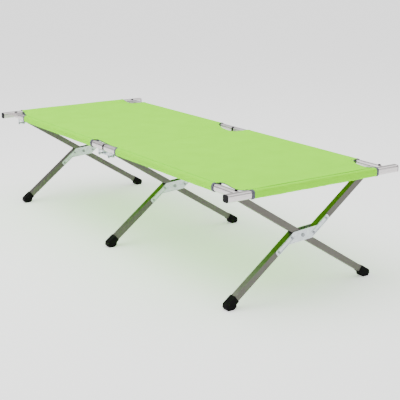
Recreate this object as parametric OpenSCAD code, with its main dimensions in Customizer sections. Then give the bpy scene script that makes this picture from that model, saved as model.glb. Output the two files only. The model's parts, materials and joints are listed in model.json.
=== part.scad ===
// Folding camp cot: two hinged side rails on three scissor leg frames, with an
// end bar across each end and one cloth cover with sleeves for rails and bars.
// X runs along the cot from head (-) to foot (+), Y across it, Z up from the floor.

/* [Overall] */
// Distance between the axes of the two end bars
cot_length = 1860; // [1500:10:2240]
// Distance between the axes of the two side rails
rail_spacing = 652; // [540:2:784]
// Height of the side rail axes above the floor
rail_height = 429; // [357:1:516]
// Distance from an end bar's axis in to the outer scissor frame
frame_inset = 74; // [60:1:230]

/* [Side rails] */
// Width of the rail tube
rail_w = 25; // [21:0.5:30]
// Height of the rail tube
rail_h = 27; // [24:0.5:32]
// Corner radius of the rail tube
rail_r = 10; // [4:0.5:10]
// Wall of the rail tube
rail_wall = 1.8; // [1.2:0.1:2.4]
// Thickness of the black flange on the inner end of each rail half
rail_flange = 6; // [3:0.5:8]
// Length of the plug inside a rail's outer end
plug_depth = 25; // [18:1:30]

/* [End bars] */
// Distance from a rail's axis out to the end of an end bar
bar_overhang = 61; // [24:1:134]
// Width of the bar tube
bar_w = 28; // [24:1:34]
// Height of the bar tube
bar_h = 27; // [24:1:32]
// Corner radius of the bar tube
bar_r = 7; // [3:0.5:8]
// Wall of the bar tube
bar_wall = 1.8; // [1.2:0.1:2.4]
// Thickness of the cap that closes a bar end
cap_t = 3; // [2:0.5:5]

/* [Scissor frames] */
// Side of the square leg tube
leg_w = 24; // [20:0.2:29]
// Wall of the leg tube
leg_wall = 1.6; // [1.2:0.1:2.4]
// Height of the leg's top pin below the rail axis
pin_drop = 17; // [14:0.5:20]
// Distance that a foot stands outboard of the top pin above it
foot_out = 25; // [-87:1:133]
// Gap between two leg tubes side by side in the folded cot
tube_gap = 5; // [4:0.5:10]
// Gap between a leg tube and the web of the bracket beside it
pin_gap = 0.7; // [0.3:0.1:7]
// Gap between the inner end of a short tube and the long leg
tube_clear = 0.5; // [0.3:0.1:8]
// Length of a plate arm from the pivot
arm_length = 126; // [104:1:152]
// Width of a plate arm
arm_w = 22; // [18:0.5:27]
// Thickness of the pressed plates and brackets
plate_t = 2.5; // [2:0.1:3]

/* [Hinges] */
// Distance from the middle of the cot to a centre hinge pin
hinge_reach = 40; // [33:0.5:48]
// Depth of the hinge pins below the rail axis
hinge_drop = 30.5; // [25:0.5:41]
// Radius of the hinge pins
hinge_pin_r = 3; // [2.5:0.25:5]

/* [Rivets] */
// Radius of the middle pivot
pivot_r = 4; // [3:0.25:5]
// Radius of a leg's top pin
top_pin_r = 3.5; // [2.5:0.25:4]
// Radius of the plate rivets
rivet_r = 3; // [2:0.25:3.5]
// Height of a rivet head
head_h = 2; // [1.2:0.1:2.5]

/* [Feet] */
// Wall of the rubber foot around the tube
foot_wall = 2.2; // [1.5:0.1:2.4]
// Length of tube that the foot covers
foot_cover = 36; // [24:1:50]

/* [Cover] */
// Thickness of the cloth
cloth_t = 1.5; // [0.8:0.1:2.5]
// Distance from the middle to the start of a side sleeve
centre_gap = 100; // [70:2:160]
// Distance from the bar axis to the outer end of a side sleeve
corner_gap = 140; // [110:2:200]
// Distance from the rail axis to the end of an end sleeve
end_gap = 41; // [30:1:80]
// How far the cut-outs reach in from the rail axis
cut_depth = 34; // [20:1:60]

/* [Hidden] */
$fn = 32;
slip = 0.3;              // between two faces that move past each other
play = 0.05;             // radial, in a bore that turns on its pin
cloth_gap = 0.6;         // between cloth and tube
rail_y = rail_spacing / 2;
bar_x = cot_length / 2;
frame_x = bar_x - frame_inset;
rail_end = bar_x - bar_w / 2 - slip;
middle_gap = 0.4;        // from the middle of the cot to a rail's flange
rail_start = middle_gap + rail_flange;
tube_flange = 3;         // flange of the plug in a short tube
rail_top = rail_height + rail_h / 2;

// scissor geometry, in the plane of one frame
half_leg = leg_w / 2;
web_in = rail_w / 2 + slip;            // faces of a bracket's web, from the rail axis
web_out = web_in + plate_t;
pin_inset = web_out + pin_gap + half_leg;  // from the rail axis to a leg's top pin
pin_y = rail_y - pin_inset;
pin_z = rail_height - pin_drop;
foot_z = 16;                           // height of a tube's axis at its lower end
pivot_height = pin_z - (pin_z - foot_z) * pin_y / (2 * pin_y + foot_out);
tube_offset = leg_w + tube_gap;
arm_rise = pin_z - pivot_height;
arm_r = norm([pin_y, arm_rise]);
long_angle = atan2(arm_rise, pin_y);
short_angle = long_angle + asin(tube_offset / arm_r);
short_r = sqrt(arm_r * arm_r - tube_offset * tube_offset);
cross_angle = long_angle + short_angle;
rivet_inset = 10;        // from the end of a short tube to its first rivet
arm_corner = 6;          // corner radius of a plate arm
plate_in = half_leg + slip;
plate_out = plate_in + plate_t;
long_end = (pivot_height - foot_z) / sin(long_angle);
short_end = (pivot_height + tube_offset * cos(short_angle) - foot_z) / sin(short_angle);
edge_run = (tube_offset + half_leg) * cos(cross_angle);
tube_start = tube_flange + (half_leg + tube_clear + edge_run) / sin(cross_angle);
inner_rivet = tube_start + rivet_inset;
outer_rivet = arm_length - arm_corner * 2;

// bracket geometry
ear_r = half_leg;
lug_w = 24;              // length of a saddle along the rail
lug_r = hinge_pin_r + 4.5;   // a saddle cheek round its pin
link_r = hinge_pin_r + 5;    // a bracket round its hinge pin
yoke_half = 6;           // half the straight length of a yoke's lower edge
cheek_gap = 13;          // between the cheeks of a saddle
saddle_t = 2;
nose_r = 8;              // rounded nose on a rail end that seats in the bar
nose_tip = 1.2;
nose_h = 2.4;
nose_hole = nose_r + 0.6;
knob_x = bar_x - 23;
knob_r = 5.5;
knob_h = 4;
knob_shank = 2;
saddle_rivet = 7;        // from the pin to each of a saddle's two rivets
plug_clear = 1.6;        // between the plug in a rail's inner end and the first saddle rivet
middle_plug = hinge_reach - saddle_rivet - rivet_r - plug_clear - rail_start;
cap_insert = (bar_overhang - cap_t - nose_hole) / 2;   // halfway to the hole for the nose
pivot_lip = 3;           // how far each kind of head stands outside its shank
pin_lip = 2.5;
hinge_lip = 2;
rivet_lip = 1.2;
stud_h = 1.2;            // height of a saddle rivet's head
stud_lip = 0.5;
plate_start = 8;         // how far a plate reaches past the end of its tube
plate_run = 34;          // length of the sloping edge that joins the two arms
toe_r = 16;              // how far a foot reaches past the end of its tube
sole_drop = 8;
fit_gap = 0.1;           // between a plug and the tube around it

alu = [0.84, 0.83, 0.83];
leg_alu = [0.62, 0.61, 0.58];
zinc = [0.86, 0.88, 0.9];
black = [0.1, 0.1, 0.11];
lime = [0.6, 0.95, 0.2];

// ---- general shapes ----

// rectangle with round corners, made of exact arcs
module round_rect(w, h, r) {
  square([w - 2 * r, h], center = true);
  square([w, h - 2 * r], center = true);
  for (x = [-1, 1], y = [-1, 1])
    translate([x * (w / 2 - r), y * (h / 2 - r)]) circle(r);
}

// straight bar with round ends, lying along X from x0 to x1
module slot_2d(x0, x1, r) {
  translate([x0, -r]) square([x1 - x0, 2 * r]);
  for (x = [x0, x1]) translate([x, 0]) circle(r);
}

// a section drawn in Y and Z, extruded along X from x0 to x1
module along_x(x0, x1) {
  translate([x0, 0, 0]) rotate([90, 0, 90]) linear_extrude(x1 - x0) children();
}

// a section drawn in X and Z, extruded along Y from y0 to y1
module along_y(y0, y1) {
  translate([0, y1, 0]) rotate([90, 0, 0]) linear_extrude(y1 - y0) children();
}

module rod_x(x0, x1, r) {
  translate([x0, 0, 0]) rotate([0, 90, 0]) cylinder(h = x1 - x0, r = r);
}

module rod_y(y0, y1, r) {
  translate([0, y1, 0]) rotate([90, 0, 0]) cylinder(h = y1 - y0, r = r);
}

// copies a near foot quarter to the side and end asked for
module quarter(side, end) {
  mirror([end < 0 ? 1 : 0, 0, 0]) mirror([0, side > 0 ? 1 : 0, 0]) children();
}

// moves a shape drawn round a rail's axis to the near rail
module at_rail() {
  translate([0, -rail_y, rail_height]) children();
}

// ---- side rails, drawn for the near foot quarter ----

module rail_outline() { round_rect(rail_w, rail_h, rail_r); }
module rail_hollow(gap = 0) {
  round_rect(rail_w - 2 * (rail_wall + gap), rail_h - 2 * (rail_wall + gap), rail_r - rail_wall - gap);
}

saddle_places = [hinge_reach, frame_x];

module saddle_rivet_places() {
  for (x = saddle_places, s = [-1, 1]) translate([x + s * saddle_rivet, 0, 0]) children();
}

module rail() {
  color(alu) at_rail() difference() {
    along_x(rail_start, rail_end) rail_outline();
    along_x(rail_start - 1, rail_end + 1) rail_hollow();
    translate([knob_x, 0, 0]) cylinder(h = rail_h, r = knob_shank);
    saddle_rivet_places() translate([0, 0, -rail_h]) cylinder(h = rail_h, r = rivet_r - 1);
  }
}

// a folded steel saddle under the rail, whose cheeks hold a hinge pin
module saddle() {
  base_z = -rail_h / 2 - saddle_t;
  difference() {
    union() {
      along_x(-lug_w / 2, lug_w / 2) intersection() {
        difference() {
          round_rect(rail_w + 2 * saddle_t, rail_h + 2 * saddle_t, rail_r + saddle_t);
          rail_outline();
        }
        translate([-cheek_gap / 2 - saddle_t, base_z]) square([cheek_gap + 2 * saddle_t, rail_h / 2]);
      }
      for (y = [-cheek_gap / 2 - saddle_t, cheek_gap / 2]) {
        along_y(y, y + saddle_t) union() {
          translate([0, -hinge_drop]) circle(lug_r);
          translate([-lug_r, -hinge_drop]) square([2 * lug_r, hinge_drop + base_z + saddle_t / 2]);
        }
      }
    }
    translate([0, 0, -hinge_drop]) rod_y(-rail_w, rail_w, hinge_pin_r);
    for (s = [-1, 1])
      translate([s * saddle_rivet, 0, -rail_h]) cylinder(h = rail_h, r = rivet_r - 1);
  }
}

module saddles() {
  color(zinc) at_rail() for (x = saddle_places) translate([x, 0, 0]) saddle();
}

// hinge pins, and the small rivets that hold the saddles to the rail
module hinge_pins() {
  cheek_out = cheek_gap / 2 + saddle_t;
  base_z = -rail_h / 2 - saddle_t;
  color(zinc) at_rail() {
    for (x = saddle_places) translate([x, 0, -hinge_drop]) {
      rod_y(-cheek_out, web_out, hinge_pin_r);
      rod_y(-cheek_out - head_h, -cheek_out, hinge_pin_r + hinge_lip);
    }
    saddle_rivet_places() {
      translate([0, 0, base_z]) cylinder(h = saddle_t + rail_wall, r = rivet_r - 1);
      translate([0, 0, base_z - stud_h]) cylinder(h = stud_h, r = rivet_r + stud_lip);
      translate([0, 0, -rail_h / 2 + rail_wall]) cylinder(h = 1, r = rivet_r);
    }
  }
}

// plugs in both ends of a rail half; the outer one has the knob and the nose
module plugs() {
  color(black) at_rail() {
    along_x(rail_start - rail_flange, rail_start) rail_outline();
    along_x(rail_start, rail_start + middle_plug) rail_hollow(fit_gap);
    along_x(rail_end - plug_depth, rail_end) rail_hollow(fit_gap);
    translate([rail_end, 0, 0]) rotate([0, 90, 0]) cylinder(h = nose_h, r1 = nose_r, r2 = nose_tip);
    translate([knob_x, 0, 0]) cylinder(h = rail_h / 2, r = knob_shank);
    translate([knob_x, 0, rail_h / 2]) {
      cylinder(h = knob_h - 1, r = knob_r);
      translate([0, 0, knob_h - 1]) cylinder(h = 1, r1 = knob_r, r2 = knob_r - 1);
    }
  }
}

// ---- brackets that join the rails to the scissor frames ----

// two ears that hold a leg's top pin, in the frame of the near rail axis
module ears() {
  difference() {
    for (x = [-plate_out, plate_in]) along_x(x, x + plate_t) union() {
      translate([pin_inset, -pin_drop]) circle(ear_r);
      translate([web_in, -pin_drop - ear_r]) square([pin_inset - web_in, 2 * ear_r]);
    }
    translate([0, pin_inset, -pin_drop]) rod_x(-leg_w, leg_w, top_pin_r + play);
  }
}

module ear_web() {
  translate([-plate_out, -hinge_drop]) square([2 * plate_out, hinge_drop - pin_drop + ear_r]);
}

module centre_bracket() {
  color(zinc) at_rail() union() {
    difference() {
      along_y(web_in, web_out) union() {
        translate([0, -hinge_drop]) slot_2d(-hinge_reach, hinge_reach, link_r);
        ear_web();
      }
      for (s = [-1, 1])
        translate([s * hinge_reach, 0, -hinge_drop]) rod_y(0, rail_w, hinge_pin_r + play);
    }
    ears();
  }
}

module yoke() {
  color(zinc) at_rail() translate([frame_x, 0, 0]) union() {
    difference() {
      along_y(web_in, web_out) union() {
        translate([0, -hinge_drop]) slot_2d(-yoke_half, yoke_half, link_r);
        ear_web();
      }
      translate([0, 0, -hinge_drop]) rod_y(0, rail_w, hinge_pin_r + play);
    }
    ears();
  }
}

// ---- end bars, drawn at the foot end ----

module bar_outline() { round_rect(bar_w, bar_h, bar_r); }
module bar_hollow(gap = 0) {
  round_rect(bar_w - 2 * (bar_wall + gap), bar_h - 2 * (bar_wall + gap), bar_r - bar_wall - gap);
}

module end_bar() {
  reach = rail_y + bar_overhang - cap_t;
  color(alu) translate([bar_x, 0, rail_height]) difference() {
    along_y(-reach, reach) bar_outline();
    along_y(-reach - 1, reach + 1) bar_hollow();
    for (y = [-rail_y, rail_y]) translate([0, y, 0]) rod_x(-bar_w, 0, nose_hole);
  }
}

module bar_caps() {
  reach = rail_y + bar_overhang;
  color(black) translate([bar_x, 0, rail_height]) for (s = [0, 1]) mirror([0, s, 0]) {
    along_y(reach - cap_t, reach) bar_outline();
    along_y(reach - cap_t - cap_insert, reach - cap_t) bar_hollow(fit_gap);
  }
}

// ---- scissor frames, drawn in the plane X = 0 ----

// places a shape drawn along +Y into the long leg, which runs down to the far side
module long_frame() {
  translate([0, 0, pivot_height]) rotate([-long_angle, 0, 0]) children();
}

// places a shape drawn along +Y into the short leg, which runs up to the far side
module short_frame() {
  translate([0, 0, pivot_height]) rotate([short_angle, 0, 0]) children();
}

// the other half of a short leg is the first one turned half round the pivot
module both_halves() {
  children();
  rotate([180, 0, 0]) children();
}

module leg_hollow(y0, y1) {
  w = leg_w - 2 * leg_wall;
  translate([-w / 2, y0, -w / 2]) cube([w, y1 - y0, w]);
}

module long_leg() {
  color(leg_alu) long_frame() difference() {
    along_x(-half_leg, half_leg) union() {
      translate([-arm_r, 0]) circle(half_leg);
      translate([-arm_r, -half_leg]) square([arm_r + long_end, leg_w]);
    }
    leg_hollow(-arm_r - leg_w, long_end + 1);
    rod_x(-leg_w, leg_w, pivot_r);
    translate([0, -arm_r, 0]) rod_x(-leg_w, leg_w, top_pin_r);
  }
}

module short_tube_rivet_holes() {
  for (y = [inner_rivet, outer_rivet])
    translate([0, y, -tube_offset]) rod_x(-leg_w, leg_w, rivet_r);
}

// short tube from the pivot up to the far rail
module upper_tube() {
  color(leg_alu) short_frame() difference() {
    translate([0, 0, -tube_offset]) along_x(-half_leg, half_leg) union() {
      translate([short_r, 0]) circle(half_leg);
      translate([tube_start, -half_leg]) square([short_r - tube_start, leg_w]);
    }
    translate([0, 0, -tube_offset]) leg_hollow(tube_start - 1, short_r + leg_w);
    short_tube_rivet_holes();
    translate([0, short_r, -tube_offset]) rod_x(-leg_w, leg_w, top_pin_r);
  }
}

// short tube from the pivot down to the near foot
module lower_tube() {
  color(leg_alu) short_frame() rotate([180, 0, 0]) difference() {
    translate([-half_leg, tube_start, -tube_offset - half_leg])
      cube([leg_w, short_end - tube_start, leg_w]);
    translate([0, 0, -tube_offset]) leg_hollow(tube_start - 1, short_end + 1);
    short_tube_rivet_holes();
  }
}

// outline of the pressed plate: an arm along each short tube, joined across the pivot
module plate_arm() {
  near = tube_start - plate_start;
  corner_x = arm_length - arm_corner;
  corner_y = arm_w / 2 - arm_corner;
  translate([near, -tube_offset - arm_w / 2]) square([corner_x - near, arm_w]);
  translate([corner_x - arm_corner, -tube_offset - corner_y]) square([2 * arm_corner, 2 * corner_y]);
  for (s = [-1, 1])
    translate([corner_x, -tube_offset + s * corner_y]) circle(arm_corner);
}

module plate_outline() {
  near = tube_start - plate_start;
  far = tube_start + plate_run;
  edge = tube_offset + arm_w / 2;
  back = tube_offset - arm_w / 2;
  plate_arm();
  rotate(180) plate_arm();
  polygon([[-near, edge], [far, -back], [near, -edge], [-far, back]]);
}

rib_w = 2.2;
rib_h = 1.5;

module plate_ribs() {
  y_rib = arm_w / 2 - 3;
  for (s = [-1, 1]) translate([0, -tube_offset + s * y_rib])
    slot_2d(tube_start + 4, arm_length - 10, rib_w / 2);
}

// side is 1 for the plate on the +X face of the frame and -1 for the other
module pressed_plate(side) {
  color(zinc) short_frame() mirror([side < 0 ? 1 : 0, 0, 0]) difference() {
    union() {
      along_x(plate_in, plate_out) plate_outline();
      both_halves() along_x(plate_out, plate_out + rib_h) plate_ribs();
    }
    rod_x(0, leg_w, pivot_r + play);
    both_halves() short_tube_rivet_holes();
  }
}

// shank through a frame, with a head outside each plate
module rivet(r, head_r, head_x) {
  rod_x(-head_x, head_x, r);
  for (s = [0, 1]) mirror([s, 0, 0]) rod_x(head_x, head_x + head_h, head_r);
}

module long_leg_pins() {
  color(zinc) long_frame() {
    rivet(pivot_r, pivot_r + pivot_lip, plate_out + slip);
    translate([0, -arm_r, 0]) rivet(top_pin_r, top_pin_r + pin_lip, plate_out + slip);
  }
}

module short_leg_rivets() {
  color(zinc) short_frame() {
    both_halves() for (y = [inner_rivet, outer_rivet])
      translate([0, y, -tube_offset]) rivet(rivet_r, rivet_r + rivet_lip, plate_out);
    translate([0, short_r, -tube_offset]) rivet(top_pin_r, top_pin_r + pin_lip, plate_out + slip);
  }
}

// black plugs that close the inner ends of the short tubes
module tube_plugs() {
  w = leg_w - 2 * (leg_wall + fit_gap);
  depth = inner_rivet - rivet_r - 1 - tube_start;
  color(black) short_frame() both_halves() translate([0, tube_start, -tube_offset]) {
    translate([-half_leg, -tube_flange, -half_leg]) cube([leg_w, tube_flange, leg_w]);
    translate([-w / 2, 0, -w / 2]) cube([w, depth, w]);
  }
}

// rubber foot along +Y round a tube's end, thick below and cut flat by the floor
module foot_block(tube_end, turn, offset) {
  half = half_leg + foot_wall;
  start = tube_end - foot_cover;
  heel = tube_end - toe_r;
  toe = tube_end + toe_r;
  intersection() {
    translate([0, 0, pivot_height]) rotate(turn) translate([0, 0, offset]) difference() {
      along_x(-half, half) polygon([
        [start, -half], [start, half], [toe - 10, half], [toe, half - 10],
        [toe, -half - sole_drop], [heel, -half - sole_drop], [heel - sole_drop, -half]
      ]);
      translate([-half_leg, 0, -half_leg]) cube([leg_w, tube_end, leg_w]);
    }
    translate([-50, -rail_spacing, 0]) cube([100, 2 * rail_spacing, rail_height]);
  }
}

module far_foot() {
  color(black) foot_block(long_end, [-long_angle, 0, 0], 0);
}

module near_foot() {
  color(black) mirror([0, 1, 0]) foot_block(short_end, [-short_angle, 0, 0], tube_offset);
}

// ---- cloth cover ----

module sleeve_section(w, h, r) {
  difference() {
    round_rect(w + 2 * (cloth_gap + cloth_t), h + 2 * (cloth_gap + cloth_t), r + cloth_gap + cloth_t);
    round_rect(w + 2 * cloth_gap, h + 2 * cloth_gap, r + cloth_gap);
  }
}

module cover() {
  notch_y = rail_y - cut_depth;
  side_end = bar_x - corner_gap;
  panel_top = rail_top + cloth_gap + cloth_t;
  end_y = rail_y - end_gap;
  color(lime) {
    for (side = [-1, 1], end = [-1, 1]) quarter(side, end)
      at_rail() along_x(centre_gap, side_end) sleeve_section(rail_w, rail_h, rail_r);
    for (end = [-1, 1]) quarter(-1, end) translate([bar_x, 0, rail_height])
      along_y(-end_y, end_y) sleeve_section(bar_w, bar_h, bar_r);
    translate([0, 0, panel_top - cloth_t]) linear_extrude(cloth_t) union() {
      square([2 * (bar_x - bar_w), 2 * notch_y], center = true);
      square([2 * bar_x, 2 * end_y], center = true);
      for (side = [-1, 1], end = [-1, 1]) scale([end, side])
        translate([centre_gap, 0]) square([side_end - centre_gap, rail_y]);
    }
  }
}

// ---- nodes ----

module frame_at(end) { translate([end * frame_x, 0, 0]) children(); }

cover();
quarter(-1, -1) rail();  // near_head_rail
quarter(-1, 1) rail();  // near_foot_rail
quarter(1, -1) rail();  // far_head_rail
quarter(1, 1) rail();  // far_foot_rail
quarter(-1, -1) saddles();  // near_head_saddles
quarter(-1, 1) saddles();  // near_foot_saddles
quarter(1, -1) saddles();  // far_head_saddles
quarter(1, 1) saddles();  // far_foot_saddles
quarter(-1, -1) hinge_pins();  // near_head_hinge_pins
quarter(-1, 1) hinge_pins();  // near_foot_hinge_pins
quarter(1, -1) hinge_pins();  // far_head_hinge_pins
quarter(1, 1) hinge_pins();  // far_foot_hinge_pins
quarter(-1, -1) plugs();  // near_head_plugs
quarter(-1, 1) plugs();  // near_foot_plugs
quarter(1, -1) plugs();  // far_head_plugs
quarter(1, 1) plugs();  // far_foot_plugs
quarter(-1, 1) centre_bracket();  // near_centre_bracket
quarter(1, 1) centre_bracket();  // far_centre_bracket
quarter(-1, -1) yoke();  // near_head_yoke
quarter(-1, 1) yoke();  // near_foot_yoke
quarter(1, -1) yoke();  // far_head_yoke
quarter(1, 1) yoke();  // far_foot_yoke
quarter(-1, -1) end_bar();  // head_end_bar
quarter(-1, 1) end_bar();  // foot_end_bar
quarter(-1, -1) bar_caps();  // head_bar_caps
quarter(-1, 1) bar_caps();  // foot_bar_caps
frame_at(-1) long_leg();  // head_long_leg
frame_at(-1) upper_tube();  // head_upper_tube
frame_at(-1) lower_tube();  // head_lower_tube
frame_at(-1) pressed_plate(1);  // head_inner_plate
frame_at(-1) pressed_plate(-1);  // head_outer_plate
frame_at(-1) long_leg_pins();  // head_long_leg_pins
frame_at(-1) short_leg_rivets();  // head_short_leg_rivets
frame_at(-1) tube_plugs();  // head_tube_plugs
frame_at(-1) far_foot();  // head_far_foot
frame_at(-1) near_foot();  // head_near_foot
frame_at(0) long_leg();  // middle_long_leg
frame_at(0) upper_tube();  // middle_upper_tube
frame_at(0) lower_tube();  // middle_lower_tube
frame_at(0) pressed_plate(-1);  // middle_inner_plate
frame_at(0) pressed_plate(1);  // middle_outer_plate
frame_at(0) long_leg_pins();  // middle_long_leg_pins
frame_at(0) short_leg_rivets();  // middle_short_leg_rivets
frame_at(0) tube_plugs();  // middle_tube_plugs
frame_at(0) far_foot();  // middle_far_foot
frame_at(0) near_foot();  // middle_near_foot
frame_at(1) long_leg();  // foot_long_leg
frame_at(1) upper_tube();  // foot_upper_tube
frame_at(1) lower_tube();  // foot_lower_tube
frame_at(1) pressed_plate(-1);  // foot_inner_plate
frame_at(1) pressed_plate(1);  // foot_outer_plate
frame_at(1) long_leg_pins();  // foot_long_leg_pins
frame_at(1) short_leg_rivets();  // foot_short_leg_rivets
frame_at(1) tube_plugs();  // foot_tube_plugs
frame_at(1) far_foot();  // foot_far_foot
frame_at(1) near_foot();  // foot_near_foot
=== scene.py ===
import json
import math

import bmesh
import bpy
import numpy as np
from mathutils import Matrix, Vector


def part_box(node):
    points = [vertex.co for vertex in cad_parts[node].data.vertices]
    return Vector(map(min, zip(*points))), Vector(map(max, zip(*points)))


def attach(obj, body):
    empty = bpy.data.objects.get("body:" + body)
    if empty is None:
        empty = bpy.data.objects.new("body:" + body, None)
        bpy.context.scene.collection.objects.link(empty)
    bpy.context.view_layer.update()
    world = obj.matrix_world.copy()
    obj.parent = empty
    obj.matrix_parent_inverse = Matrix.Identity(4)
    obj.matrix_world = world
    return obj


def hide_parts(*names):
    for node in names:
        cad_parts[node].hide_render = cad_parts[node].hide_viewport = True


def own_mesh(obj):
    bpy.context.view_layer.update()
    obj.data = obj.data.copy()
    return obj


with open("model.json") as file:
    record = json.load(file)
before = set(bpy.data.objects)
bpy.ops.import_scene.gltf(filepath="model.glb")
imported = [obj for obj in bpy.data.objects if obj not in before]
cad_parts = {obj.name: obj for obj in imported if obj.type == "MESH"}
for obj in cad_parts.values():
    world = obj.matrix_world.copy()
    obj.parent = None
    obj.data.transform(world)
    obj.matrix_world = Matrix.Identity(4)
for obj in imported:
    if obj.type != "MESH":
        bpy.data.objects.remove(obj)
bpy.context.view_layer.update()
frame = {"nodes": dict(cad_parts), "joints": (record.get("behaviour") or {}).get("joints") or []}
nodes = frame["nodes"]
joints = {joint["name"]: joint for joint in frame["joints"]}
print("frame loaded:", len(nodes), "nodes")


# places, read from the frame

def middle(node):
    low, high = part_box(node)
    return (low + high) / 2, (high - low) / 2


railMiddle, railHalf = middle("near_foot_rail")
barMiddle, barHalf = middle("foot_end_bar")
railY = -railMiddle.y
railZ = railMiddle.z
barX = barMiddle.x
hinge = joints["near_foot_side_fold"]["pos_m"]
topPin = joints["middle_long_leg_swing"]["pos_m"]
pivot = joints["scissor_close"]["pos_m"]

# share of the open width that is left when the scissors are closed
armLength = math.hypot(topPin[1], topPin[2] - pivot[2])
armAngle = math.atan2(topPin[2] - pivot[2], -topPin[1])
closedTurn = math.radians(joints["scissor_close"]["range_deg"][1])
closedHalf = armLength * math.cos(armAngle + closedTurn / 2) + railY + topPin[1]
closedShare = closedHalf / railY


# cloth sizes, in metres

cloth = {
    "thickness": 0.0014,
    "gap": 0.0007,          # between cloth and tube
    "railRoundness": 0.0121,    # corner radius of the cloth where it goes round a rail
    "barRoundness": 0.0091,
    "centreGap": 0.100,     # half the length of the cut-out over the middle hinge
    "cornerGap": 0.140,     # from the bar's axis to the outer end of a side sleeve
    "endGap": 0.041,        # from the rail's axis to the end of an end sleeve
    "cutDepth": 0.034,      # how far the cut-outs reach in from the rail's axis
    "middleDroop": 0.015,   # how far the free edge hangs down in a cut-out
    "cornerDroop": 0.012,
    "seamInset": 0.024,     # from the rail's or bar's axis to the sewn seam
    "endSeamExtra": 0.004,  # the seam of an end sleeve lies this much further in
    "seamWidth": 0.0035,
    "seamDepth": 0.0007,
    "cornerRise": 0.030,    # length over which a corner cut-out reaches its depth
    "tuck": 0.0015,         # how far a hidden edge stays back from what covers it
    "sag": 0.0035,
    "middleFall": 0.055,    # how far in from a free edge its droop dies away
    "cornerFall": 0.045,
    "railWaver": 0.00035,   # unevenness of a sleeve's grip on its tube
    "barWaver": 0.0005,
}
# faint radiating pulls: height, how many to a radian, and the ring of distances where they show
pulls = {
    "corner": {"height": 0.0011, "count": 16, "reach": 0.16, "spread": 0.09},
    "cut": {"height": 0.0008, "count": 13, "reach": 0.16, "spread": 0.07},
}
clothTop = railZ + railHalf.z + cloth["gap"] + cloth["thickness"]
sideEnd = barX - cloth["cornerGap"]
endY = railY - cloth["endGap"]
flapX = hinge[0] + clothTop - hinge[2]   # where the folded side stands up beside the middle strip
lap = 0.0018                             # step between two layers of cloth


# shader wiring

class Wire:
    # a socket of a node tree, with Python's operators as Math nodes
    def __init__(self, tree, socket):
        self.tree = tree
        self.socket = socket

    def maths(self, operation, *values):
        node = self.tree.nodes.new("ShaderNodeMath")
        node.operation = operation
        for place, value in zip(node.inputs, values):
            plug(self.tree, place, value)
        return Wire(self.tree, node.outputs[0])

    def __add__(self, other):
        return self.maths("ADD", self, other)

    def __radd__(self, other):
        return self.maths("ADD", other, self)

    def __sub__(self, other):
        return self.maths("SUBTRACT", self, other)

    def __rsub__(self, other):
        return self.maths("SUBTRACT", other, self)

    def __mul__(self, other):
        return self.maths("MULTIPLY", self, other)

    def __rmul__(self, other):
        return self.maths("MULTIPLY", other, self)

    def __pow__(self, other):
        return self.maths("POWER", self, other)


def plug(tree, place, value):
    if isinstance(value, Wire):
        tree.links.new(value.socket, place)
    elif isinstance(value, tuple) and len(value) == 3 and place.type == "RGBA":
        place.default_value = (*value, 1.0)
    else:
        place.default_value = value


class Finish:
    # a material under construction: a Principled shader and what is wired to it
    def __init__(self, name, **constants):
        self.material = bpy.data.materials.new(name)
        self.material.use_nodes = True
        self.tree = self.material.node_tree
        self.shader = self.tree.nodes["Principled BSDF"]
        for label, value in constants.items():
            plug(self.tree, self.shader.inputs[label.replace("_", " ")], value)

    def node(self, kind, settings=None, inputs=None, output=0):
        made = self.tree.nodes.new(kind)
        for label, value in (settings or {}).items():
            setattr(made, label, value)
        for label, value in (inputs or {}).items():
            plug(self.tree, made.inputs[label], value)
        return Wire(self.tree, made.outputs[output])

    def place(self, turn=(0, 0, 0), scale=(1, 1, 1)):
        where = self.node("ShaderNodeTexCoord", output="Object")
        return self.node("ShaderNodeMapping", inputs={"Vector": where, "Rotation": turn, "Scale": scale})

    def flat(self):
        return self.node("ShaderNodeUVMap", {"uv_map": "cloth"}, output="UV")

    def noise(self, where, scale, detail=2.0, roughness=0.5):
        return self.node("ShaderNodeTexNoise", {"noise_dimensions": "3D"},
                         {"Vector": where, "Scale": scale, "Detail": detail, "Roughness": roughness}, "Fac")

    def blend(self, share, first, second):
        return self.node("ShaderNodeMix", {"data_type": "RGBA"}, {0: share, 6: first, 7: second}, 2)

    def spread(self, share, low, high, toLow=0.0, toHigh=1.0):
        return self.node("ShaderNodeMapRange", inputs={"Value": share, "From Min": low, "From Max": high,
                                                       "To Min": toLow, "To Max": toHigh})

    def bump(self, height, distance, strength=1.0):
        normal = self.node("ShaderNodeBump", inputs={"Height": height, "Distance": distance,
                                                     "Strength": strength}, output="Normal")
        plug(self.tree, self.shader.inputs["Normal"], normal)

    def set(self, label, value):
        plug(self.tree, self.shader.inputs[label], value)


# materials

weave = {
    "pitch": 0.0011,
    "top": (0.31, 0.95, 0.001),
    "shade": (0.27, 0.86, 0.001),
    "relief": 0.00016,
}
tapeFinish = {
    "ribPitch": 0.0012,
    "light": (0.14, 0.14, 0.175),
    "dark": (0.085, 0.085, 0.115),
    "relief": 0.0002,
}
threadFinish = {"dark": (0.20, 0.50, 0.03), "light": (0.32, 0.70, 0.07), "relief": 0.0001}
metals = {
    "rail": {"light": (0.80, 0.75, 0.76), "dark": (0.60, 0.56, 0.575), "streaks": (3, 420, 420)},
    "bar": {"light": (0.82, 0.78, 0.78), "dark": (0.64, 0.60, 0.60), "streaks": (420, 3, 420)},
    "leg": {"light": (0.151, 0.143, 0.13), "dark": (0.105, 0.099, 0.088), "streaks": (90, 700, 20),
            "rough": (0.34, 0.5), "relief": 0.00003},
    "steel": {"light": (0.70, 0.75, 0.78), "dark": (0.47, 0.51, 0.54), "rough": (0.22, 0.36)},
    "rivet": {"light": (0.34, 0.36, 0.38), "dark": (0.22, 0.24, 0.25), "rough": (0.3, 0.45)},
}
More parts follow.
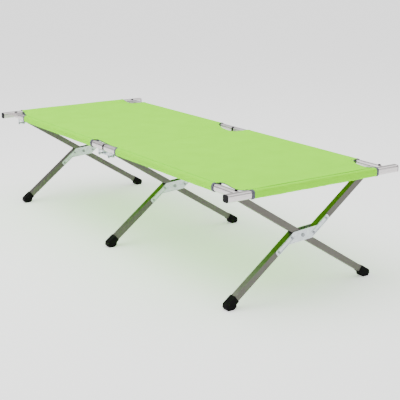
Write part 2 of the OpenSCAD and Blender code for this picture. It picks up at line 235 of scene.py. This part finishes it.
moulded = {
    "plastic": {"light": (0.008, 0.0075, 0.009), "dark": (0.004, 0.004, 0.005), "grain": 1400,
                "relief": 0.00005, "rough": (0.38, 0.55)},
    "rubber": {"light": (0.006, 0.006, 0.006), "dark": (0.003, 0.003, 0.003), "grain": 900,
               "relief": 0.0001, "rough": (0.6, 0.82)},
}


def wovenCloth(name, light, dark, pitch, relief):
    finish = Finish(name, Roughness=0.8, Specular_IOR_Level=0.08)
    spot = finish.flat()
    split = finish.node("ShaderNodeSeparateXYZ", inputs={"Vector": spot}, output="X")
    across = finish.node("ShaderNodeSeparateXYZ", inputs={"Vector": spot}, output="Y")
    warp = finish.node("ShaderNodeMath", {"operation": "SINE"}, {0: split * (2 * math.pi / pitch)})
    weft = finish.node("ShaderNodeMath", {"operation": "SINE"}, {0: across * (2 * math.pi / pitch)})
    threads = (warp * weft) * 0.5 + 0.5
    stretched = finish.node("ShaderNodeMapping", inputs={"Vector": spot, "Scale": (30, 900, 1)})
    slub = finish.noise(stretched, 1.0, 3)
    cloud = finish.noise(spot, 9.0, 3)
    share = finish.spread(cloud * 0.55 + slub * 0.35 + threads * 0.10, 0.3, 0.7)
    finish.set("Base Color", finish.blend(share, dark, light))
    finish.set("Roughness", finish.spread(slub, 0.2, 0.8, 0.70, 0.86))
    finish.bump(threads * 0.8 + slub * 0.4, relief)
    return finish.material


def tape(name):
    # woven edge binding with fine ribs along its length
    finish = Finish(name, Roughness=0.8, Specular_IOR_Level=0.3)
    spot = finish.flat()
    along = finish.node("ShaderNodeSeparateXYZ", inputs={"Vector": spot}, output="X")
    turns = along * (2 * math.pi / tapeFinish["ribPitch"])
    rib = finish.node("ShaderNodeMath", {"operation": "SINE"}, {0: turns})
    fuzz = finish.noise(finish.place(), 700, 3)
    share = finish.spread(fuzz, 0.3, 0.7)
    finish.set("Base Color", finish.blend(share, tapeFinish["dark"], tapeFinish["light"]))
    finish.bump(rib * 0.5 + fuzz, tapeFinish["relief"])
    return finish.material


def thread(name):
    finish = Finish(name, Roughness=0.6, Sheen_Weight=0.2)
    fuzz = finish.noise(finish.place(), 2500, 2)
    finish.set("Base Color", finish.blend(fuzz, threadFinish["dark"], threadFinish["light"]))
    finish.bump(fuzz, threadFinish["relief"])
    return finish.material


def drawnAluminium(name, light, dark, streaks, turn=(0, 0, 0), rough=(0.26, 0.42), relief=0.00002):
    # the marks run in the direction in which streaks is small
    finish = Finish(name, Metallic=1.0)
    drawn = finish.noise(finish.place(turn, streaks), 1.0, 4, 0.6)
    smears = finish.noise(finish.place(), 14, 4, 0.6)
    pits = finish.noise(finish.place(), 900, 2)
    share = finish.spread(drawn * 0.6 + smears * 0.4, 0.35, 0.65)
    finish.set("Base Color", finish.blend(share, dark, light))
    finish.set("Roughness", finish.spread(drawn * 0.5 + smears * 0.5, 0.3, 0.7, rough[0], rough[1]))
    finish.bump(drawn + pits * 0.3, relief)
    return finish.material


def platedSteel(name, light, dark, rough):
    # zinc plating: a soft bluish bloom with fine scratches
    finish = Finish(name, Metallic=0.9)
    bloom = finish.noise(finish.place(), 55, 4, 0.65)
    scratch = finish.noise(finish.place((0.3, 0.5, 0.7), (60, 1500, 60)), 1.0, 2)
    finish.set("Base Color", finish.blend(finish.spread(bloom, 0.3, 0.7), dark, light))
    finish.set("Roughness", finish.spread(bloom * 0.7 + scratch * 0.3, 0.3, 0.7, rough[0], rough[1]))
    finish.bump(scratch + bloom * 0.5, 0.00003)
    return finish.material


def mouldedPlastic(name, light, dark, grain, relief, rough):
    finish = Finish(name, Specular_IOR_Level=0.08)
    skin = finish.noise(finish.place(), grain, 3)
    wear = finish.noise(finish.place(), 40, 4, 0.7)
    finish.set("Base Color", finish.blend(finish.spread(wear, 0.45, 0.75), dark, light))
    finish.set("Roughness", finish.spread(skin * 0.4 + wear * 0.6, 0.3, 0.7, rough[0], rough[1]))
    finish.bump(skin, relief)
    return finish.material


def paintNodes(longTurn, shortTurn):
    finishes = {
        "rail": drawnAluminium("rail aluminium", **metals["rail"]),
        "bar": drawnAluminium("bar aluminium", **metals["bar"]),
        "long": drawnAluminium("long leg aluminium", turn=(longTurn, 0, 0), **metals["leg"]),
        "short": drawnAluminium("short leg aluminium", turn=(-shortTurn, 0, 0), **metals["leg"]),
        "steel": platedSteel("plated steel", **metals["steel"]),
        "rivet": platedSteel("rivet steel", **metals["rivet"]),
        "plastic": mouldedPlastic("black plastic", **moulded["plastic"]),
        "rubber": mouldedPlastic("foot rubber", **moulded["rubber"]),
    }
    endings = (("_rail", "rail"), ("_end_bar", "bar"), ("_long_leg", "long"), ("_upper_tube", "short"),
               ("_lower_tube", "short"), ("_saddles", "steel"), ("_bracket", "steel"), ("_yoke", "steel"),
               ("_plate", "steel"), ("_pins", "rivet"), ("_rivets", "rivet"), ("_plugs", "plastic"),
               ("_caps", "plastic"), ("_foot", "rubber"))
    for name, node in nodes.items():
        for ending, kind in endings:
            if name.endswith(ending):
                node.data.materials.clear()
                node.data.materials.append(finishes[kind])


lowerHalf = middle("middle_lower_tube")[1]
paintNodes(armAngle, math.atan2(lowerHalf.z, lowerHalf.y))
print("frame painted")


# mesh helpers

def gridObject(name, points, material, closed=False, uv=None):
    # points is a grid of rows and columns of places; closed joins the last column to the first
    rows, columns = points.shape[:2]
    index = np.arange(rows * columns).reshape(rows, columns)
    right = np.roll(index, -1, axis=1) if closed else index[:, 1:]
    left = index if closed else index[:, :-1]
    faces = np.stack([left[:-1], right[:-1], right[1:], left[1:]], axis=-1).reshape(-1, 4)
    mesh = bpy.data.meshes.new(name)
    mesh.from_pydata(points.reshape(-1, 3).tolist(), [], faces.tolist())
    if uv is None:
        along = np.linalg.norm(np.diff(points, axis=0, prepend=points[:1]), axis=2).cumsum(axis=0)
        around = np.linalg.norm(np.diff(points, axis=1, prepend=points[:, :1]), axis=2).cumsum(axis=1)
        uv = np.stack([along, around], axis=-1)
    layer = mesh.uv_layers.new(name="cloth")
    corners = np.empty(len(mesh.loops), np.int32)
    mesh.loops.foreach_get("vertex_index", corners)
    layer.data.foreach_set("uv", uv.reshape(-1, 2)[corners].astype(np.float32).ravel())
    mesh.polygons.foreach_set("use_smooth", np.ones(len(mesh.polygons), bool))
    mesh.materials.append(material)
    mesh.validate()
    made = bpy.data.objects.new(name, mesh)
    bpy.context.scene.collection.objects.link(made)
    return made


def thicken(piece, thickness):
    # the grid is the outer face, so the wall grows inwards
    wall = piece.modifiers.new("wall", "SOLIDIFY")
    wall.thickness = thickness
    wall.offset = -1


def smoothStep(t):
    t = np.clip(t, 0, 1)
    return t * t * (3 - 2 * t)


def dense(start, stop, count):
    # samples crowded towards both ends
    t = (1 - np.cos(np.linspace(0, math.pi, count))) / 2
    return start + (stop - start) * t


def sweep(name, path, across, up, halfWidth, halfThick, material, sides=10):
    # a flat rounded section carried along a path; across and up are unit vectors at each point
    turn = np.linspace(0, 2 * math.pi, sides, endpoint=False)
    wide = np.sign(np.cos(turn)) * np.abs(np.cos(turn)) ** 0.6 * halfWidth
    thick = np.sign(np.sin(turn)) * np.abs(np.sin(turn)) ** 0.8 * halfThick
    ring = (path[:, None] + across[:, None] * wide[None, :, None] + up[:, None] * thick[None, :, None])
    return closeEnds(gridObject(name, ring, material, closed=True))


def closeEnds(piece):
    # caps the two open ends of a swept tube and turns all its faces outwards
    work = bmesh.new()
    work.from_mesh(piece.data)
    bmesh.ops.holes_fill(work, edges=[edge for edge in work.edges if edge.is_boundary], sides=0)
    bmesh.ops.recalc_face_normals(work, faces=work.faces)
    work.to_mesh(piece.data)
    work.free()
    return piece


# the cover's outline

def edgeDepth(x):
    # how far the cloth's edge lies in from the rail's axis, at a distance x from the middle
    depth = cloth["cutDepth"]
    inCut = np.clip(x / cloth["centreGap"], 0, 1)
    centre = depth * (1 - inCut ** 2.8) ** (1 / 2.8)
    rise = np.clip((x - sideEnd) / cloth["cornerRise"], 0, 1)
    corner = depth * (1 - (1 - rise) ** 2.4) ** (1 / 2.4)
    late = smoothStep((x - (barX - 0.075)) / 0.050)
    return np.where(x < cloth["centreGap"], centre, corner + (cloth["endGap"] - depth) * late)


def topHeight(x, y):
    # the stretched cloth sags a little between the rails, with faint pulls from the corners
    share = np.clip(1 - (y / railY) ** 2, 0, 1)
    along = np.sin(np.clip(np.abs(x) / barX, 0, 1) * math.pi) ** 0.5
    sag = cloth["sag"] * share * (0.55 + 0.45 * along) * smoothStep((barX - np.abs(x)) / 0.08)
    fromCorner = np.hypot(barX - np.abs(x), railY - np.abs(y))
    angle = np.arctan2(railY - np.abs(y), barX - np.abs(x))
    at = pulls["corner"]
    ring = np.exp(-((fromCorner - at["reach"]) / at["spread"]) ** 2)
    pull = at["height"] * np.sin(angle * at["count"] + 1) * ring * share
    fromCut = np.hypot(x, railY - np.abs(y))
    cutAngle = np.arctan2(railY - np.abs(y), x)
    at = pulls["cut"]
    ring = np.exp(-((fromCut - at["reach"]) / at["spread"]) ** 2)
    pull += at["height"] * np.sin(cutAngle * at["count"]) * ring * share
    # the free edges hang a little in the cut-outs
    inboard = np.maximum(railY - edgeDepth(np.abs(x)) - np.abs(y), 0)
    atMiddle = np.clip(1 - (np.abs(x) / cloth["centreGap"]) ** 2, 0, 1)
    alongCorner = np.clip((np.abs(x) - sideEnd) / (barX - sideEnd), 0, 1)
    atCorner = np.sin(math.pi * alongCorner) ** 0.8
    droop = cloth["middleDroop"] * atMiddle * np.exp(-(inboard / cloth["middleFall"]) ** 1.3)
    droop = droop + cloth["cornerDroop"] * atCorner * np.exp(-(inboard / cloth["cornerFall"]) ** 1.3)
    sag = sag + droop
    seam = np.exp(-((np.abs(y) - (railY - cloth["seamInset"])) / cloth["seamWidth"]) ** 2)
    endSeamX = barX - cloth["seamInset"] - cloth["endSeamExtra"]
    endSeam = np.exp(-((np.abs(x) - endSeamX) / cloth["seamWidth"]) ** 2)
    return clothTop - sag + pull - cloth["seamDepth"] * np.maximum(seam, endSeam)


def acrossSamples():
    seam = 1 - cloth["seamInset"] / railY
    outer = np.linspace(seam - 0.03, 1, 22)
    inner = np.linspace(0, seam - 0.03, 34, endpoint=False)
    half = np.concatenate([inner, outer])
    return np.concatenate([-half[:0:-1], half])


def roundedOutline(halfWide, halfHigh, radius, count):
    # from the top of the tube outwards, down and under, then up to the seam on the inner side
    turn = np.linspace(0, math.pi / 2, count)
    sine, cosine = np.sin(turn), np.cos(turn)
    outer = np.stack([halfWide - radius + radius * sine, halfHigh - radius + radius * cosine], 1)
    lower = np.stack([halfWide - radius + radius * cosine, -halfHigh + radius - radius * sine], 1)
    inner = np.stack([-halfWide + radius - radius * sine, -halfHigh + radius - radius * cosine], 1)
    top = np.stack([np.linspace(0, halfWide - radius, 6, endpoint=False), np.full(6, halfHigh)], 1)
    side = np.stack([np.full(8, halfWide), np.linspace(halfHigh - radius, -halfHigh + radius, 8)], 1)
    under = np.stack([np.linspace(halfWide - radius, -halfWide + radius, 12), np.full(12, -halfHigh)], 1)
    share = smoothStep(np.linspace(0, 1, 12))[1:]
    start = inner[-1]
    goal = np.array([-cloth["seamInset"], halfHigh - 2 * lap])
    rise = np.stack([start[0] + (goal[0] - start[0]) * share, start[1] + (goal[1] - start[1])
                     * np.linspace(0, 1, 12)[1:]], 1)
    return np.concatenate([top, outer, side[1:-1], lower, under[1:-1], inner, rise])


railOutline = roundedOutline(railHalf.y + cloth["gap"] + cloth["thickness"],
                             railHalf.z + cloth["gap"] + cloth["thickness"], cloth["railRoundness"], 9)
barOutline = roundedOutline(barHalf.x + cloth["gap"] + cloth["thickness"],
                            barHalf.z + cloth["gap"] + cloth["thickness"], cloth["barRoundness"], 9)

limeCloth = wovenCloth("lime cloth", weave["top"], weave["shade"], weave["pitch"], weave["relief"])
darkTape = tape("dark binding")
limeThread = thread("lime thread")


def crumple(piece):
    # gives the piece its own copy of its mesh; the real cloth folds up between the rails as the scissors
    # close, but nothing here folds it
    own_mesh(piece)


def asCloth(piece, body, flat):
    thicken(piece, cloth["thickness"])
    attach(piece, body)
    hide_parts("cover")


# top panels and middle strip

def topPanel(name, end, body, drop):
    inner = -(hinge[0] + clothTop - lap - cloth["thickness"] - hinge[2] - 2 * hinge[0])
    hidden = np.array([inner, 0.4 * flapX, flapX - cloth["tuck"]])
    riseEnd = sideEnd + cloth["cornerRise"]
    x = np.concatenate([hidden, dense(flapX, cloth["centreGap"], 14),
                        np.linspace(cloth["centreGap"], sideEnd, 60)[1:],
                        dense(sideEnd, riseEnd, 14)[1:], np.linspace(riseEnd, barX, 34)[1:]])
    width = railY - edgeDepth(np.abs(x))
    width[:3] -= cloth["tuck"]
    y = width[:, None] * acrossSamples()[None, :]
    z = topHeight(x[:, None] + 0 * y, y)
    z[:3] -= drop
    points = np.stack([end * x[:, None] + 0 * y, y, z], axis=-1)
    points = points if end < 0 else points[:, ::-1]
    points = points[:, ::-1]
    uv = points[..., :2].copy()
    panel = gridObject(name, points, limeCloth, uv=uv)
    asCloth(panel, body, (2 * railY, barX - inner))
    crumple(panel)


def middleStrip():
    x = np.linspace(-flapX, flapX, 49)
    width = railY - edgeDepth(np.abs(x))
    y = width[:, None] * acrossSamples()[None, :]
    z = topHeight(np.abs(x)[:, None] + 0 * y, y)
    points = np.stack([x[:, None] + 0 * y, y, z], axis=-1)
    strip = gridObject("cover_middle_strip", points, limeCloth, uv=points[..., :2].copy())
    asCloth(strip, "near_centre_bracket", (2 * flapX, 2 * railY))
    crumple(strip)


topPanel("cover_foot_panel", 1, "near_foot_side", lap)
topPanel("cover_head_panel", -1, "near_head_side", 2 * lap)
middleStrip()


# sleeves round the rails and the end bars

def ripple(along, seed):
    # a slow waver in how tightly the cloth holds the tube
    slow = np.sin(along * 41 + seed)
    return (slow + 0.6 * np.sin(along * 97 + 2.1 * seed) + 0.4 * np.sin(along * 173 + seed)) / 2


def sideSleeve(side, end, body):
    x = np.linspace(cloth["centreGap"], sideEnd, 90)
    ring = railOutline
    share = np.sin(np.linspace(0, math.pi, len(ring))) ** 0.7
    waver = cloth["railWaver"] * ripple(x, side * 1.7 + end)[:, None] * share[None, :]
    growth = 1 + waver / railHalf.z
    y = side * (railY + ring[None, :, 0] * growth)
    z = railZ + ring[None, :, 1] * growth
    points = np.stack([end * x[:, None] + 0 * y, y, z], axis=-1)
    if side * end > 0:
        points = points[:, ::-1]
    name = f"cover_{'near' if side < 0 else 'far'}_{'foot' if end > 0 else 'head'}_sleeve"
    sleeve = gridObject(name, points, limeCloth)
    width = float(np.linalg.norm(np.diff(ring, axis=0), axis=1).sum())
    asCloth(sleeve, body, (width, float(x[-1] - x[0])))


def endSleeve(end, body):
    y = np.linspace(-endY, endY, 80)
    ring = barOutline
    share = np.sin(np.linspace(0, math.pi, len(ring))) ** 0.7
    growth = 1 + cloth["barWaver"] * ripple(y, end * 2.3)[:, None] * share[None, :] / barHalf.z
    x = end * (barX + ring[None, :, 0] * growth)
    z = railZ + ring[None, :, 1] * growth
    points = np.stack([x, y[:, None] + 0 * x, z], axis=-1)
    if end < 0:
        points = points[:, ::-1]
    name = f"cover_{'foot' if end > 0 else 'head'}_end_sleeve"
    sleeve = gridObject(name, points, limeCloth)
    width = float(np.linalg.norm(np.diff(ring, axis=0), axis=1).sum())
    asCloth(sleeve, body, (width, 2 * endY))
    crumple(sleeve)


for sideName, side in (("near", -1), ("far", 1)):
    for endName, end in (("head", -1), ("foot", 1)):
        sideSleeve(side, end, f"{sideName}_{endName}_side")
for endName, end in (("head", -1), ("foot", 1)):
    endSleeve(end, f"near_{endName}_side")
print("cloth made")


# bindings

binding = {
    "halfWidth": 0.0056,
    "halfThick": 0.0016,
    "inset": 0.0036,        # from the cloth's edge in to the middle of the binding
    "start": 0.0003,        # a binding starts this far from a sleeve's end
}
skyward = np.array([0.0, 0.0, 1.0])


def bindingPiece(name, path, up, body, soft):
    ahead = np.gradient(path, axis=0)
    ahead /= np.linalg.norm(ahead, axis=1)[:, None]
    across = np.cross(up, ahead)
    across /= np.linalg.norm(across, axis=1)[:, None]
    piece = sweep(name, path, across, np.cross(ahead, across), binding["halfWidth"], binding["halfThick"],
                  darkTape)
    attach(piece, body)
    if soft:
        crumple(piece)


def edgePath(x, side, end):
    # the cut-out's edge, moved a little into the cloth
    y = side * (railY - edgeDepth(np.abs(x)))
    flat = np.stack([end * x, y], 1)
    ahead = np.gradient(flat, axis=0)
    ahead /= np.linalg.norm(ahead, axis=1)[:, None]
    inward = np.stack([ahead[:, 1], -ahead[:, 0]], 1)
    inward *= np.sign((inward[:, 1:] * -side).mean()) if abs(inward[:, 1].mean()) > 0.05 else 1
    flat += inward * binding["inset"]
    z = topHeight(np.abs(flat[:, 0]), flat[:, 1]) - cloth["thickness"] / 2
    return np.stack([flat[:, 0], flat[:, 1], z], 1)


for sideName, side in (("near", -1), ("far", 1)):
    for endName, end in (("head", -1), ("foot", 1)):
        quarter = f"{sideName}_{endName}"
        for label, x in (("middle", cloth["centreGap"] + binding["inset"]),
                         ("corner", sideEnd - binding["inset"])):
            ring = railOutline
            path = np.stack([np.full(len(ring), end * x), side * (railY + ring[:, 0]), railZ + ring[:, 1]], 1)
            centre = np.array([end * x, side * railY, railZ])
            outward = path - centre
            outward /= np.linalg.norm(outward, axis=1)[:, None]
            bindingPiece(f"{quarter}_{label}_ring", path - outward * cloth["thickness"] / 2, outward,
                         f"{quarter}_side", False)
        cut = dense(flapX, cloth["centreGap"] - binding["start"], 20)
        bindingPiece(f"{quarter}_cut_binding", edgePath(cut, side, end), skyward,
                     f"near_{endName}_side", True)
        riseEnd = sideEnd + cloth["cornerRise"]
        corner = np.concatenate([dense(sideEnd + binding["start"], riseEnd, 24),
                                 np.linspace(riseEnd, barX, 30)[1:]])
        bindingPiece(f"{quarter}_corner_binding", edgePath(corner, side, end), skyward,
                     f"near_{endName}_side", True)
        ring = barOutline
        y = side * (endY - binding["inset"])
        path = np.stack([end * (barX + ring[:, 0]), np.full(len(ring), y), railZ + ring[:, 1]], 1)
        outward = path - np.array([end * barX, y, railZ])
        outward /= np.linalg.norm(outward, axis=1)[:, None]
        bindingPiece(f"{quarter}_bar_ring", path - outward * cloth["thickness"] / 2, outward,
                     f"near_{endName}_side", True)
    across = np.linspace(-flapX, flapX, 41)
    bindingPiece(f"{sideName}_strip_binding", edgePath(across, side, 1), skyward, "near_centre_bracket", True)
print("bindings made")


# stitching

stitch = {
    "pitch": 0.0042,
    "length": 0.0029,
    "radius": 0.00035,
    "rowGap": 0.0050,
    "endGap": 0.012,        # a row stops this far from the end of its seam
}


def stitchRow(path):
    # short threads along a path, as places and directions
    step = np.linalg.norm(np.diff(path, axis=0), axis=1)
    run = np.concatenate([[0], step.cumsum()])
    spots = np.arange(stitch["pitch"], run[-1] - stitch["pitch"], stitch["pitch"])
    places = np.stack([np.interp(spots, run, path[:, i]) for i in range(3)], 1)
    ahead = np.stack([np.interp(spots + 0.001, run, path[:, i]) for i in range(3)], 1) - places
    return places, ahead / np.linalg.norm(ahead, axis=1)[:, None]


def stitches(name, paths, body, soft):
    rows = [stitchRow(path) for path in paths]
    places = np.concatenate([row[0] for row in rows])
    ahead = np.concatenate([row[1] for row in rows])
    up = np.tile(skyward, (len(places), 1))
    across = np.cross(up, ahead)
    across /= np.linalg.norm(across, axis=1)[:, None]
    # one thread: rings of six points that narrow and dip at both ends
    stations = np.array([-0.5, -0.3, 0.3, 0.5]) * stitch["length"]
    radii = np.array([0.35, 1.0, 1.0, 0.35]) * stitch["radius"]
    dip = np.array([-0.8, 0.2, 0.2, -0.8]) * stitch["radius"]
    turn = np.linspace(0, 2 * math.pi, 6, endpoint=False)
    local = np.stack([np.repeat(stations, 6), np.outer(radii, np.cos(turn)).ravel(),
                      (np.outer(radii, np.sin(turn)) + dip[:, None]).ravel()], 1)
    points = (places[:, None] + ahead[:, None] * local[None, :, :1] + across[:, None] * local[None, :, 1:2]
              + np.cross(ahead, across)[:, None] * local[None, :, 2:])
    ringIndex = np.arange(24).reshape(4, 6)
    after = np.roll(ringIndex, -1, axis=1)
    quads = np.stack([ringIndex[:-1], ringIndex[1:], after[1:], after[:-1]], -1).reshape(-1, 4)
    ends = np.array([[0, 1, 2, 3], [0, 3, 4, 5], [21, 20, 19, 18], [23, 22, 21, 18]])
    shape = np.concatenate([quads, ends])
    faces = (np.arange(len(places))[:, None, None] * 24 + shape[None]).reshape(-1, 4)
    mesh = bpy.data.meshes.new(name)
    mesh.from_pydata(points.reshape(-1, 3).tolist(), [], faces.tolist())
    mesh.polygons.foreach_set("use_smooth", np.ones(len(mesh.polygons), bool))
    mesh.materials.append(limeThread)
    piece = bpy.data.objects.new(name, mesh)
    bpy.context.scene.collection.objects.link(piece)
    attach(piece, body)
    if soft:
        crumple(piece)


def topPath(x, y):
    return np.stack([x, y, topHeight(np.abs(x), y) + 0.3 * stitch["radius"]], 1)


for endName, end in (("head", -1), ("foot", 1)):
    paths = []
    for side in (-1, 1):
        for row in (0, 1):
            along = end * np.linspace(cloth["centreGap"] + stitch["endGap"], sideEnd - stitch["endGap"], 160)
            seamY = railY - cloth["seamInset"] - (row - 0.5) * stitch["rowGap"]
            paths.append(topPath(along, side * seamY + 0 * along))
    for row in (0, 1):
        across = np.linspace(-endY + stitch["endGap"], endY - stitch["endGap"], 120)
        seamX = barX - cloth["seamInset"] - cloth["endSeamExtra"] - (row - 0.5) * stitch["rowGap"]
        x = end * seamX + 0 * across
        paths.append(topPath(x, across))
    stitches(f"{endName}_panel_stitching", paths, f"near_{endName}_side", True)
print("stitching made")


# studio

studio = {
    "floor": (0.97, 0.97, 0.97),
    "floorGlow": 0.55,
    "zenith": 2.0,
    "horizon": 0.05,
    "backdrop": 1.35,   # seen past the floor's edge
    "skyCurve": 1.1,
    "camera": (3.3767, -2.1346, 1.2495),
    "look": (-0.80724, 0.52522, -0.26926),
    "roll": -0.35,
    "lens": 85.6,
    "shift": (0.0367, 0.0121),
    "floorReach": 30,
    "lampSize": 3.0,
    "lampAim": (0, 0, 0.3),
    "lamps": (("key", (-0.3, -1.3, 3.5), 110), ("fill", (-2.5, -3.0, 2.5), 10), ("rim", (0.5, 3.0, 3.0), 20)),
}


def makeStudio():
    world = bpy.data.worlds.new("studio")
    bpy.context.scene.world = world
    world.use_nodes = True
    # bright overhead and dim at the horizon, so that metal has something to reflect
    tree = world.node_tree
    way = tree.nodes.new("ShaderNodeTexCoord").outputs["Generated"]
    split = tree.nodes.new("ShaderNodeSeparateXYZ")
    tree.links.new(way, split.inputs["Vector"])
    height = Wire(tree, split.outputs["Z"])
    share = height.maths("MAXIMUM", height, 0.0) ** studio["skyCurve"]
    plug(tree, tree.nodes["Background"].inputs["Color"], (1.0, 1.0, 1.0))
    glow = share * (studio["zenith"] - studio["horizon"]) + studio["horizon"]
    # seen directly it is pale, and the light that it gives stays as it is
    seen = Wire(tree, tree.nodes.new("ShaderNodeLightPath").outputs["Is Camera Ray"])
    plug(tree, tree.nodes["Background"].inputs["Strength"], glow + seen * (studio["backdrop"] - glow))
    mesh = bpy.data.meshes.new("floor")
    reach = studio["floorReach"]
    mesh.from_pydata([(-reach, -reach, 0), (reach, -reach, 0), (reach, reach, 0), (-reach, reach, 0)], [],
                     [(0, 1, 2, 3)])
    finish = Finish("floor", Base_Color=studio["floor"], Roughness=0.9, Specular_IOR_Level=0.1,
                    Emission_Color=(1.0, 1.0, 1.0), Emission_Strength=studio["floorGlow"])
    mesh.materials.append(finish.material)
    floor = bpy.data.objects.new("floor", mesh)
    bpy.context.scene.collection.objects.link(floor)
    for name, spot, power in studio["lamps"]:
        light = bpy.data.lights.new(name, "AREA")
        light.size = studio["lampSize"]
        light.energy = power
        lamp = bpy.data.objects.new(name, light)
        lamp.location = spot
        lamp.rotation_euler = (Vector(studio["lampAim"]) - Vector(spot)).to_track_quat("-Z", "Y").to_euler()
        bpy.context.scene.collection.objects.link(lamp)


def makeCamera():
    lens = bpy.data.cameras.new("camera")
    lens.lens = studio["lens"]
    lens.sensor_width = 36
    lens.shift_x, lens.shift_y = studio["shift"]
    camera = bpy.data.objects.new("camera", lens)
    camera.location = studio["camera"]
    turn = Vector(studio["look"]).to_track_quat("-Z", "Y").to_matrix()
    camera.rotation_euler = (turn @ Matrix.Rotation(math.radians(studio["roll"]), 3, "Z")).to_euler()
    bpy.context.scene.collection.objects.link(camera)
    bpy.context.scene.camera = camera


makeStudio()
makeCamera()
